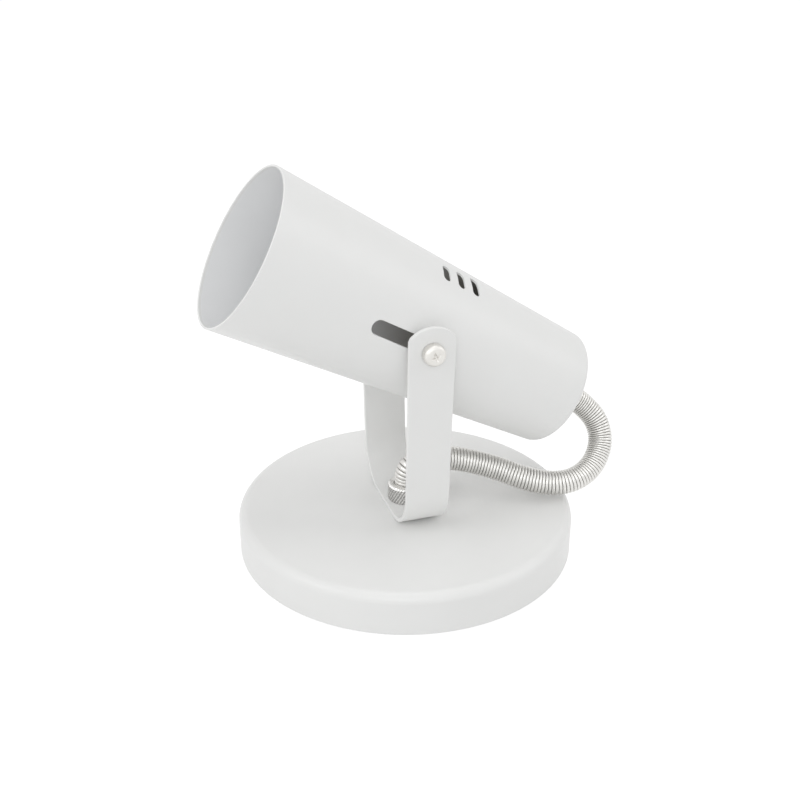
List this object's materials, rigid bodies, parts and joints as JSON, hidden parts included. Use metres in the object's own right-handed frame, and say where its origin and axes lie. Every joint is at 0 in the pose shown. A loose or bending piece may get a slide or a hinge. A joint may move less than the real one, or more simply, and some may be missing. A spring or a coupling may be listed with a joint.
{
  "type": "surface spotlight",
  "caption": "Round-canopy surface spotlight with a tapered shade that tilts and slides in a swivelling U-bracket, fed through a spring-wound conduit",
  "frame": {"origin": "centre of the canopy's mounting face, where the swivel axis meets the surface that it is fixed to", "axes": "+Z out of the mounting surface along the swivel axis, Y along the tilt axis, -X the way that the shade's mouth points when the swivel is at 0"},
  "size_m": [0.1456, 0.12, 0.1414],
  "materials": {
    "white_paint": "satin white paint",
    "nickel_nut": "nickel-plated brass, knurled",
    "nickel_wire": "nickel-plated spring wire",
    "zinc_steel": "zinc-plated steel",
    "screw_plate": "nickel-plated screw",
    "brass_thread": "threaded brass tube",
    "brass_contact": "spring brass",
    "porcelain": "glazed white ceramic",
    "shell_plate": "nickel-plated brass shell",
    "block_plastic": "natural nylon",
    "lead_sheath": "insulated leads",
    "sleeve": "woven insulating sleeve"
  },
  "bodies": {
    "base": {"base_canopy": "white_paint", "mounting_bar": "zinc_steel", "base_nipple": "brass_thread", "bar_lock_washer": "zinc_steel", "bar_locknut": "zinc_steel", "canopy_lock_washer": "zinc_steel", "canopy_locknut": "zinc_steel", "supply_leads": "lead_sheath", "connector_block": "block_plastic", "connector_screws": "zinc_steel"},
    "bracket": {"u_bracket": "white_paint", "bracket_knurled_nut": "nickel_nut", "spring_conduit": "nickel_wire", "conduit_sleeve": "sleeve"},
    "carriage": {"tilt_screw_near": "screw_plate", "tilt_screw_far": "screw_plate", "tilt_washer_near": "zinc_steel", "tilt_washer_far": "zinc_steel", "tilt_nut_near": "zinc_steel", "tilt_nut_far": "zinc_steel"},
    "head": {"shade_tube": "white_paint", "shade_nipple": "brass_thread", "shade_knurled_nut": "nickel_nut", "shade_locknut": "zinc_steel", "holder_yoke": "zinc_steel", "holder_locknut": "zinc_steel", "holder_body": "porcelain", "yoke_screws": "zinc_steel", "terminal_screws": "zinc_steel", "screw_shell": "shell_plate", "centre_contact": "brass_contact", "head_leads": "lead_sheath"}
  },
  "joints": [
    {"name": "swivel", "type": "hinge", "parent": "base", "child": "bracket", "pos_m": [0, 0, 0.015], "axis": [0, 0, 1], "range_deg": [-170, 170]},
    {"name": "tilt", "type": "hinge", "parent": "bracket", "child": "carriage", "pos_m": [0, 0, 0.085], "axis": [0, 1, 0], "range_deg": [-30, 8], "deforming": ["spring_conduit", "conduit_sleeve"]},
    {"name": "slide", "type": "slide", "parent": "carriage", "child": "head", "axis": [0.8625, 0, -0.506], "range_m": [0, 0.019], "deforming": ["spring_conduit", "conduit_sleeve"]}
  ]
}
